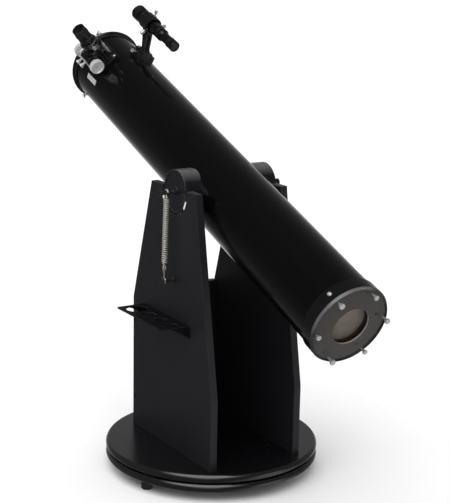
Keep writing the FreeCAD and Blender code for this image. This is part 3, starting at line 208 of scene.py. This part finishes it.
def finish(
    name,
    color,
    rough,
    metal=0.0,
    spec=0.5,
    coat=0.0,
    coat_rough=0.05,
    tone=0.25,
    patches=9.0,
    smudge=0.05,
    grain=900.0,
    depth=0.02,
    edge=0.5,
    edge_wear_and_highlight_gain=2.2,
    brushed=None,
    dust=0.25,
    top_dust_and_highlight=0.0,
    change=None,
):
    """A worn, slightly uneven finish: tone and gloss vary in patches, fine grain, dust, and edges lightened as
    wear and also as a painted highlight along them.

    How much lighter layer lies on faces that look up is an argument of its own; the layer is dust and also a
    painted highlight on their tops, and change(graph, color, rough) may paint over colour and roughness before
    they reach the shader.
    """
    g = Graph(name)
    patchy = g.noise(patches, 5.0, 0.6)
    fine = g.noise(patches * 9.0, 4.0, 0.6)
    blend = g.math("ADD", g.math("MULTIPLY", patchy, 0.65), g.math("MULTIPLY", fine, 0.35))
    blend = g.ramp(blend, 0.32, 0.68)
    shade = g.mix(blend, scaled(color, 1.0 - tone), scaled(color, 1.0 + tone))
    edge_mask, rounded = g.edges(edge * MM)
    # Edges are lightened by a gain: wear, and where the gain is large a painted highlight along them.
    edge_wear_and_highlight_mask = g.math("MULTIPLY", edge_mask, g.ramp(fine, 0.35, 0.6, 0.35, 1.0))
    shade = g.mix(edge_wear_and_highlight_mask, shade, scaled(color, edge_wear_and_highlight_gain))
    gloss = g.math("ADD", rough, g.math("MULTIPLY", g.math("SUBTRACT", patchy, 0.5), smudge * 4.0))
    gloss = g.math("ADD", gloss, g.math("MULTIPLY", g.math("SUBTRACT", fine, 0.5), smudge * 2.0))
    gloss = g.math("MAXIMUM", gloss, 0.03)
    if dust:
        specks = g.ramp(g.noise(2600.0, 2.0, 0.7), 0.70, 0.78, 0.0, dust)
        shade = g.mix(specks, shade, SPECK_COLOR)
    # A lighter layer on faces that look up: dust, and also a painted highlight along their tops.
    if top_dust_and_highlight:
        facing = g.add("ShaderNodeNewGeometry").outputs["Normal"]
        upward = g.add("ShaderNodeSeparateXYZ", {"Vector": facing}).outputs["Z"]
        dust_and_highlight_layer = g.ramp(upward, 0.55, 1.0, 0.0, top_dust_and_highlight)
        dust_and_highlight_layer = g.math("MULTIPLY", dust_and_highlight_layer, g.ramp(fine, 0.2, 0.6, 0.6, 1.0))
        shade = g.mix(dust_and_highlight_layer, shade, DUST_AND_HIGHLIGHT_COLOR)
    if change:
        shade, gloss = change(g, shade, gloss)
    height = g.noise(grain, 3.0, 0.6, g.stretched(brushed) if brushed else None)
    normal = g.bump(height, 0.6, depth * MM, rounded)
    shader = g.shader.inputs
    g.feed(shader["Base Color"], shade)
    g.feed(shader["Roughness"], gloss)
    g.feed(shader["Normal"], normal)
    shader["Metallic"].default_value = metal
    shader["Specular IOR Level"].default_value = spec
    shader["Coat Weight"].default_value = coat
    shader["Coat Roughness"].default_value = coat_rough
    return g.material


def tube_paint(g, shade, gloss):
    """Inside the tube the paint is dead matt."""
    inside = g.ramp(g.axis_distance(), TUBE_R - 0.4 * MM, TUBE_R - 0.7 * MM)
    shade = g.mix(inside, shade, (0.006, 0.006, 0.006))
    gloss = g.math("ADD", gloss, g.math("MULTIPLY", inside, 0.75))
    return shade, g.math("MINIMUM", gloss, 0.95)


def cell_paint(g, shade, gloss):
    """The rear ring: black outside, a dark back plate with fine rings from the lathe whose lighter brown tone is a
    painted reflection, a grey rim and a grey shoulder line that are painted highlights, and a pale hole wall that
    is a painted reflection.
    """
    out, along = g.axis_distance(), g.axis_place()
    rings = g.math("SINE", g.math("MULTIPLY", out, TURNED_RINGS))
    # The plate's rings are its own; their lighter brown tone is a painted reflection.
    turned = g.mix(g.ramp(rings, -1.0, 1.0), (0.048, 0.0425, 0.0385), (0.072, 0.064, 0.058))
    back = g.step(along, CELL_PLATE_S, -0.5 * MM)
    plate = g.math("MULTIPLY", g.step(out, CELL_PLATE_R, -0.2 * MM), back)
    shade = g.mix(plate, shade, turned)
    # A grey band round the back corner of the rim: a painted highlight.
    behind = g.step(along, CELL_RIM_S, -0.25 * MM)
    rim = g.math("MULTIPLY", g.step(out, CELL_RIM_R, 0.1 * MM), behind)
    shade = g.mix(rim, shade, (0.05, 0.05, 0.05))
    # A grey line at the shoulder: a painted highlight.
    shade = g.mix(g.step(along, CELL_SHOULDER_S, 0.3 * MM), shade, (0.10, 0.10, 0.10))
    # The pale hole wall: a painted reflection.
    hole = g.step(out, CELL_HOLE_R, -0.1 * MM)
    return g.mix(hole, shade, (0.42, 0.41, 0.39)), gloss


def mirror_glass(name, back_color):
    """A silvered front face towards the sky, and ground glass on the back and the edge."""
    g = Graph(name)
    normal = g.add("ShaderNodeTexCoord").outputs["Normal"]
    front = g.ramp(g.vector("DOT_PRODUCT", normal, tuple(ALONG)), 0.90, 0.97)
    cloudy = g.noise(38.0, 6.0, 0.65)
    pits = g.noise(700.0, 3.0, 0.6)
    ground = g.mix(g.ramp(cloudy, 0.35, 0.65), scaled(back_color, 0.82), scaled(back_color, 1.18))
    ground = g.mix(g.ramp(pits, 0.60, 0.72, 0.0, 0.35), ground, scaled(back_color, 0.6))
    shade = g.mix(front, ground, (0.86, 0.87, 0.88))
    gloss = g.math("ADD", g.ramp(cloudy, 0.3, 0.7, 0.36, 0.50), g.math("MULTIPLY", front, -0.34))
    shader = g.shader.inputs
    g.feed(shader["Base Color"], shade)
    g.feed(shader["Metallic"], front)
    g.feed(shader["Roughness"], g.math("MAXIMUM", gloss, 0.03))
    g.feed(shader["Normal"], g.bump(pits, 0.3, 0.01 * MM))
    return g.material


def lens_glass(name):
    """Coated glass: dark and very smooth, with a painted violet reflection of its coating mixed in towards its
    edges by how squarely it faces the view.
    """
    g = Graph(name)
    coating_reflection = g.add("ShaderNodeLayerWeight", {"Blend": 0.35}).outputs["Facing"]
    smear = g.noise(60.0, 5.0, 0.6)
    # The violet tone towards the edges is a painted reflection of the coating.
    shade = g.mix(g.ramp(coating_reflection, 0.1, 0.9), (0.012, 0.016, 0.035), (0.055, 0.040, 0.11))
    shader = g.shader.inputs
    g.feed(shader["Base Color"], shade)
    g.feed(shader["Roughness"], g.ramp(smear, 0.3, 0.7, 0.03, 0.09))
    g.feed(shader["Normal"], g.bump(smear, 0.15, 0.01 * MM))
    shader["Specular IOR Level"].default_value = 0.3
    shader["Coat Weight"].default_value = 0.3
    return g.material


def metal(name, color, rough, brushed=(1.0, 1.0, 1.0), **extra):
    """Plated or bare metal: fine scratches and slightly uneven polish, with no dust."""
    settings = dict(metal=1.0, tone=0.08, smudge=0.02, grain=1500.0, depth=0.006, edge_wear_and_highlight_gain=1.1)
    settings.update(extra)
    return finish(name, color, rough, brushed=brushed, dust=0.0, **settings)


# Large edge gains (rack, focuser, finder, eyepiece, shoe, rear ring) lighten edges far past their own colour:
# painted highlights along them, with some wear.
MATERIALS = {
    # The boards' lighter upward faces are dust and also a painted highlight.
    "board_black": finish(
        "board_laminate", (0.0122, 0.0124, 0.0150), 0.40, spec=0.42, grain=520.0, depth=0.05,
        tone=0.16, patches=5.0, smudge=0.03, edge=0.9, edge_wear_and_highlight_gain=4.0, dust=0.12, top_dust_and_highlight=0.2,
    ),
    "edge_band": finish(
        "edge_banding", (0.010, 0.010, 0.011), 0.15, spec=0.7, coat=1.0, tone=0.15, smudge=0.03,
        grain=260.0, depth=0.02, edge_wear_and_highlight_gain=2.0, dust=0.18,
    ),
    "foot_plastic": finish("foot_plastic", (0.016, 0.016, 0.017), 0.55, grain=1400.0, depth=0.05),
    "white_plastic": finish(
        "white_plastic", (0.78, 0.78, 0.75), 0.38, tone=0.05, edge_wear_and_highlight_gain=1.05, dust=0.0, depth=0.02,
    ),
    "zinc_steel": metal("zinc_steel", (0.58, 0.57, 0.54), 0.30),
    "black_steel": finish("black_steel", (0.015, 0.015, 0.016), 0.35, metal=0.4, edge_wear_and_highlight_gain=4.0),
    "black_plastic": finish("black_plastic", (0.014, 0.014, 0.015), 0.28, depth=0.02, edge_wear_and_highlight_gain=3.0),
    "nickel_wire": finish(
        "nickel_wire", (0.62, 0.59, 0.54), 0.24, metal=0.55, spec=0.7, tone=0.12, smudge=0.02,
        grain=1500.0, depth=0.006, edge_wear_and_highlight_gain=1.1, dust=0.0,
    ),
    "rack_paint": finish(
        "rack_powder_coat", (0.0045, 0.0045, 0.0052), 0.48, spec=0.12, grain=1100.0, depth=0.07,
        edge=0.6, edge_wear_and_highlight_gain=34.0, dust=0.10,
    ),
    "tube_gloss": finish(
        "tube_paint", (0.0014, 0.0014, 0.0018), 0.30, spec=0.12, coat=1.0, coat_rough=0.11,
        tone=0.12, patches=4.0, smudge=0.012, grain=170.0, depth=0.012, edge=0.3, dust=0.05,
        change=tube_paint,
    ),
    "ring_gloss": finish(
        "ring_paint", (0.0085, 0.0085, 0.0095), 0.20, coat=0.8, grain=300.0, depth=0.02, edge_wear_and_highlight_gain=5.0,
    ),
    "cell_paint": finish(
        "cell_paint", (0.0120, 0.0115, 0.0125), 0.17, metal=0.5, coat=0.6, tone=0.12, patches=14.0,
        smudge=0.02, grain=1300.0, depth=0.012, edge=0.5, edge_wear_and_highlight_gain=8.0, change=cell_paint,
    ),
    "cell_alloy": finish("cell_alloy", (0.06, 0.056, 0.052), 0.45, metal=0.8, edge_wear_and_highlight_gain=2.0),
    "primary_glass": mirror_glass("primary_glass", (0.150, 0.126, 0.104)),
    "secondary_glass": mirror_glass("secondary_glass", (0.30, 0.28, 0.26)),
    "chrome": metal("chrome", (0.84, 0.84, 0.83), 0.15, metal=0.78, spec=0.8),
    # The drum's lighter top is dust and also a painted highlight along it.
    "bearing_plastic": finish(
        "bearing_plastic", (0.0075, 0.0077, 0.0098), 0.22, coat=0.5, coat_rough=0.12, grain=700.0,
        depth=0.02, edge=1.0, edge_wear_and_highlight_gain=6.0, dust=0.08, top_dust_and_highlight=0.55,
    ),
    "focuser_black": finish(
        "focuser_paint", (0.0055, 0.0055, 0.0065), 0.17, coat=0.8, grain=900.0, depth=0.05, edge=0.8,
        edge_wear_and_highlight_gain=28.0,
    ),
    "cover_grey": finish(
        "cover_grey", (0.45, 0.45, 0.47), 0.36, metal=0.35, spec=0.6, tone=0.10, smudge=0.03,
        grain=1500.0, depth=0.01, edge_wear_and_highlight_gain=2.2, brushed=(1.0, 0.06, 0.06), dust=0.0,
    ),
    "drawtube_chrome": metal("drawtube_chrome", (0.74, 0.74, 0.73), 0.10),
    "knob_silver": finish(
        "knob_silver", (0.88, 0.88, 0.88), 0.22, metal=0.5, spec=0.7, tone=0.04, smudge=0.02,
        grain=1500.0, depth=0.006, edge_wear_and_highlight_gain=1.15, dust=0.0,
    ),
    "eyepiece_black": finish(
        "eyepiece_anodised", (0.010, 0.010, 0.0125), 0.26, metal=0.3, coat=0.4, edge=0.5, edge_wear_and_highlight_gain=14.0,
        depth=0.03,
    ),
    "eyecup_rubber": finish(
        "eyecup_rubber", (0.012, 0.012, 0.012), 0.62, grain=1600.0, depth=0.08, edge_wear_and_highlight_gain=2.0, dust=0.35,
    ),
    "coated_glass": lens_glass("coated_glass"),
    "shoe_black": finish(
        "shoe_paint", (0.0075, 0.0075, 0.0085), 0.26, coat=0.3, grain=800.0, depth=0.07, edge=0.7,
        edge_wear_and_highlight_gain=10.0,
    ),
    "finder_black": finish(
        "finder_paint", (0.0030, 0.0030, 0.0035), 0.22, spec=0.3, coat=0.6, grain=1200.0, depth=0.03,
        edge=0.6, edge_wear_and_highlight_gain=26.0,
    ),
}
TURNTABLE_TOP = finish(
    "turntable_laminate", (0.0035, 0.0036, 0.0048), 0.26, spec=0.6, coat=0.8, coat_rough=0.25,
    grain=260.0, depth=0.03, tone=0.14, patches=4.0, smudge=0.022, edge=0.6, edge_wear_and_highlight_gain=2.5, dust=0.22,
)
MILLED_EDGE = finish(
    "milled_edge", (0.34, 0.34, 0.33), 0.24, metal=0.94, tone=0.15, smudge=0.02, grain=1500.0,
    depth=0.006, edge_wear_and_highlight_gain=1.3, dust=0.0,
)


def smooth(obj, angle=32.0):
    """Smooth shading, kept sharp where faces meet at more than angle degrees."""
    mesh = obj.data
    limit = math.cos(math.radians(angle))
    form = bmesh.new()
    form.from_mesh(mesh)
    sharp = []
    for edge in form.edges:
        faces = edge.link_faces
        sharp.append(len(faces) != 2 or faces[0].normal.dot(faces[1].normal) < limit)
    form.free()
    mesh.polygons.foreach_set("use_smooth", [True] * len(mesh.polygons))
    marks = mesh.attributes.get("sharp_edge") or mesh.attributes.new("sharp_edge", "BOOLEAN", "EDGE")
    marks.data.foreach_set("value", sharp)
    mesh.update()


def dress_nodes():
    """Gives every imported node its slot's material."""
    for part in RECORD["subparts"]:
        node = NODES[part["node"]]
        node.data.materials.clear()
        node.data.materials.append(MATERIALS[part["material_slot"]])
        smooth(node)
    for name in ("turntable_board", "ground_board"):
        NODES[name].data.materials[0] = TURNTABLE_TOP


# ------------------------------------------------------------------ pieces


def piece(name, form, slot, body, stands_for=()):
    """Makes an object from a bmesh, dresses it and puts it on its body."""
    mesh = bpy.data.meshes.new(name)
    bmesh.ops.recalc_face_normals(form, faces=form.faces)
    form.to_mesh(mesh)
    form.free()
    obj = bpy.data.objects.new(name, mesh)
    bpy.context.scene.collection.objects.link(obj)
    mesh.materials.append(MATERIALS[slot])
    smooth(obj)
    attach(obj, body)
    if stands_for:
        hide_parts(*stands_for)
    return obj


def wire(form, points, radius, sides=10):
    """Adds a round wire along points to a bmesh, with rounded ends."""
    count = len(points)
    across = (points[1] - points[0]).orthogonal().normalized()
    rings = []
    for i, point in enumerate(points):
        before, after = points[max(i - 1, 0)], points[min(i + 1, count - 1)]
        way = (after - before).normalized()
        across = (across - way * across.dot(way)).normalized()
        other = way.cross(across)
        size = radius * (0.55 if i in (0, count - 1) else 1.0)
        ring = []
        for k in range(sides):
            turn = 2 * math.pi * k / sides
            ring.append(form.verts.new(point + size * (across * math.cos(turn) + other * math.sin(turn))))
        rings.append(ring)
    for low, high in zip(rings, rings[1:]):
        for k in range(sides):
            form.faces.new((low[k], low[(k + 1) % sides], high[(k + 1) % sides], high[k]))
    form.faces.new(rings[0][::-1])
    form.faces.new(rings[-1])


def arc(centre, start, normal, degrees, steps):
    """Points of an arc round centre, from start, turning about normal."""
    spoke = start - centre
    return [
        centre + Matrix.Rotation(math.radians(degrees) * i / steps, 3, normal) @ spoke
        for i in range(steps + 1)
    ]


def spring_frame(side):
    """The spring's top, bottom, unit vector down it and unit vector across it, from the posts."""
    low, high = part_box("upper_spring_posts"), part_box("lower_spring_posts")
    top = (Vector(low[0]) + Vector(low[1])) / 2
    end = (Vector(high[0]) + Vector(high[1])) / 2
    top.x, end.x = side * SPRING_TOP_X, side * SPRING_END_X
    down = (end - top).normalized()
    return top, end, down, down.cross(X).normalized()


def spring_wire(side):
    """One length of wire, and its lowest point: eye round the upper post, open coil, lower eye."""
    top, _, down, across = spring_frame(side)
    outwards = across.cross(down).normalized()
    points = arc(top, top + across * UPPER_EYE_R, outwards, 262.0, 26)
    if (points[8] - top).dot(down) > 0:
        points = arc(top, top + across * UPPER_EYE_R, outwards, -262.0, 26)
    neck = top + down * (UPPER_EYE_R + 2.2 * MM)
    points += [points[-1].lerp(neck, 0.5) + down * 0.6 * MM, neck]
    total = COIL_TURNS * COIL_STEPS
    for i in range(total + 1):
        grow = min(1.0, i / (COIL_LEAD * COIL_STEPS), (total - i) / (COIL_LEAD * COIL_STEPS))
        radius = COIL_R * (0.12 + 0.88 * grow)
        turn = 2 * math.pi * i / COIL_STEPS
        depth = COIL_TOP + (COIL_END - COIL_TOP) * i / total
        spoke = across * math.cos(turn) + outwards * math.sin(turn)
        points.append(top + down * depth + radius * spoke)
    eye = top + down * (COIL_END + LOWER_EYE_R + 2.5 * MM)
    start = eye - down * LOWER_EYE_R
    points.append(start - down * 0.8 * MM)
    towards = (outwards * 0.55 + across * (0.83 if across.y < 0 else -0.83)).normalized()
    points += arc(eye, start, towards, 318.0, 24)
    return points, eye + down * LOWER_EYE_R


def hook_wire(side, eye_bottom):
    """The bright hook: a loop through the spring's lower eye and a ring round the lower post."""
    _, end, down, across = spring_frame(side)
    outwards = across.cross(down).normalized()
    loop = eye_bottom + down * (HOOK_LOOP_R - 2.6 * MM)
    points = arc(loop, loop + down * HOOK_LOOP_R, across, -300.0, 18)[::-1]
    ring_top = end - down * HOOK_RING_R
    points += [loop + down * (HOOK_LOOP_R + 2.0 * MM), ring_top - down * 3.0 * MM]
    points += arc(end, ring_top, outwards, 325.0, 26)
    return points


def make_springs():
    """Both springs in place of the CAD sleeves, and their hooks."""
    coils, hooks = bmesh.new(), bmesh.new()
    for side in (-1, 1):
        points, eye_bottom = spring_wire(side)
        wire(coils, points, SPRING_WIRE_R)
        wire(hooks, hook_wire(side, eye_bottom), HOOK_WIRE_R, 12)
    piece("spring_coils", coils, "nickel_wire", "rocker_box", ["tension_springs"])
    piece("spring_hooks", hooks, "chrome", "rocker_box")


def make_label():
    """A plain silver plate with rounded corners, curved to the tube."""
    length, arc_width, corner, lift = 49.0 * MM, 14.0 * MM, 2.0 * MM, 0.35 * MM
    underside, bevel = 0.02 * MM, 0.2 * MM
    middle_s, middle_psi = 545.0 * MM, 7.5
    columns, rows = 24, 10
    form = bmesh.new()
    layers = []
    for height in (underside, lift):
        grid = []
        for i in range(columns + 1):
            line = []
            for k in range(rows + 1):
                u = (i / columns - 0.5) * length
                v = (k / rows - 0.5) * arc_width
                over_u, over_v = abs(u) - (length / 2 - corner), abs(v) - (arc_width / 2 - corner)
                if over_u > 0 and over_v > 0:
                    size = max(1e-9, math.hypot(over_u, over_v))
                    pull = min(1.0, corner / size)
                    u = math.copysign(length / 2 - corner + over_u * pull, u)
                    v = math.copysign(arc_width / 2 - corner + over_v * pull, v)
                edge = min(length / 2 - abs(u), arc_width / 2 - abs(v))
                lifted = height if edge > bevel else height * 0.7
                psi = middle_psi + math.degrees(v / TUBE_R)
                line.append(form.verts.new(on_tube(middle_s + u, psi, TUBE_R + lifted)))
            grid.append(line)
        layers.append(grid)
    base, face = layers
    for i in range(columns):
        for k in range(rows):
            for grid in layers:
                form.faces.new((grid[i][k], grid[i + 1][k], grid[i + 1][k + 1], grid[i][k + 1]))
    rim = [(i, 0) for i in range(columns)] + [(columns, k) for k in range(rows)]
    rim += [(i, rows) for i in range(columns, 0, -1)] + [(0, k) for k in range(rows, 0, -1)]
    for (i, k), (a, b) in zip(rim, rim[1:] + rim[:1]):
        form.faces.new((base[i][k], base[a][b], face[a][b], face[i][k]))
    piece("blank_label", form, "knob_silver", "tube")


def make_cell_rim():
    """The bright milled edge of the rear ring: fine teeth round its back corner."""
    teeth, tooth_depth, inner_points = 168, 0.7, 3
    form = bmesh.new()
    profile = (
        (-557.6, 95.2), (-563.9, 91.8), (-564.4, 92.1), (-564.6, 92.7), (-561.4, 94.5), (-558.0, 96.3),
    )
    rings = []
    for i in range(teeth * 4):
        high = (i % 4) in (1, 2)
        ring = []
        for k, (s, radius) in enumerate(profile):
            proud = 0.0 if high or k < inner_points else -tooth_depth
            ring.append(form.verts.new(on_tube(s * MM, 360.0 * i / (teeth * 4), (radius + proud) * MM)))
        rings.append(ring)
    for a, b in zip(rings, rings[1:] + rings[:1]):
        for k in range(len(profile)):
            j = (k + 1) % len(profile)
            form.faces.new((a[k], b[k], b[j], a[j]))
    milling = piece("cell_rim_milling", form, "zinc_steel", "tube")
    milling.data.materials[0] = MILLED_EDGE


# ------------------------------------------------------------------ stage


def make_floor():
    bpy.ops.mesh.primitive_plane_add(size=60.0, location=(0, 0, -0.0005))
    floor = bpy.context.object
    floor.name = "studio_floor"
    g = Graph("floor_paper")
    shade = g.mix(g.noise(3.0, 4.0), (0.86, 0.86, 0.86), (0.90, 0.90, 0.90))
    g.feed(g.shader.inputs["Base Color"], shade)
    g.shader.inputs["Roughness"].default_value = 0.9
    g.shader.inputs["Specular IOR Level"].default_value = 0.1
    floor.data.materials.append(g.material)
    floor.visible_glossy = False


def aimed(obj, place, target):
    obj.location = place
    obj.rotation_euler = (Vector(target) - Vector(place)).to_track_quat("-Z", "Y").to_euler()
    bpy.context.scene.collection.objects.link(obj)


def make_world():
    """Plain white to the camera and to diffuse light; glossy rays see the backdrop and the soft lamps."""
    world = bpy.data.worlds.new("studio")
    bpy.context.scene.world = world
    g = Graph.__new__(Graph)
    world.use_nodes = True
    g.tree = world.node_tree
    way = g.add("ShaderNodeTexCoord").outputs["Generated"]
    behind = g.vector("DOT_PRODUCT", way, tuple(BACKDROP))
    curve = g.add("ShaderNodeFloatCurve", {"Value": g.ramp(behind, -1.0, 1.0)})
    line = curve.mapping.curves[0]
    line.points[0].location, line.points[-1].location = (0.0, BACKDROP_FAR), (1.0, BACKDROP_NEAR)
    for at, value in BACKDROP_GLOW:
        line.points.new(at, value)
    curve.mapping.update()
    seen = curve.outputs[0]
    for aim, size, soft, strength in SOFTBOXES:
        near = g.vector("DOT_PRODUCT", way, tuple(Vector(aim).normalized()))
        edge_out, edge_in = (math.cos(math.radians(a)) for a in (size + soft, size - soft))
        seen = g.math("MAXIMUM", seen, g.ramp(near, edge_out, edge_in, 0.0, strength))
    ray = g.add("ShaderNodeLightPath").outputs
    plain = g.ramp(ray["Is Camera Ray"], 0.0, 1.0, DIFFUSE_WORLD, CAMERA_WORLD)
    strength = g.add("ShaderNodeMix", data_type="FLOAT")
    g.feed(strength.inputs[0], ray["Is Glossy Ray"])
    g.feed(strength.inputs[2], plain)
    g.feed(strength.inputs[3], seen)
    background = g.tree.nodes["Background"].inputs
    background["Color"].default_value = (1.0, 1.0, 1.0, 1.0)
    g.feed(background["Strength"], strength.outputs[0])


def make_lights():
    sun = bpy.data.lights.new("sky_panel", "SUN")
    sun.energy, sun.angle = 1.6, math.radians(60)
    lamp = bpy.data.objects.new("sky_panel", sun)
    aimed(lamp, (-1.6, -0.8, 4.0), (0, 0, 0.3))
    lamp.visible_glossy = False


def make_camera():
    yaw, pitch, roll = (math.radians(a) for a in CAMERA_TURN)
    forward = Vector(
        (-math.sin(yaw) * math.cos(pitch), math.cos(yaw) * math.cos(pitch), -math.sin(pitch))
    )
    level = Vector((math.cos(yaw), math.sin(yaw), 0))
    rise = level.cross(forward)
    right = level * math.cos(roll) + rise * math.sin(roll)
    up = rise * math.cos(roll) - level * math.sin(roll)
    data = bpy.data.cameras.new("camera")
    data.sensor_fit, data.sensor_height, data.lens = "VERTICAL", SENSOR_HEIGHT, LENS
    camera = bpy.data.objects.new("camera", data)
    bpy.context.scene.collection.objects.link(camera)
    axes = Matrix((right, up, -forward)).transposed().to_4x4()
    camera.matrix_world = Matrix.Translation(CAMERA_PLACE) @ axes
    bpy.context.scene.camera = camera


make_camera()
dress_nodes()
make_springs()
make_label()
make_cell_rim()
make_floor()
make_world()
make_lights()
bpy.context.scene.view_settings.view_transform = "Standard"
bpy.context.view_layer.update()
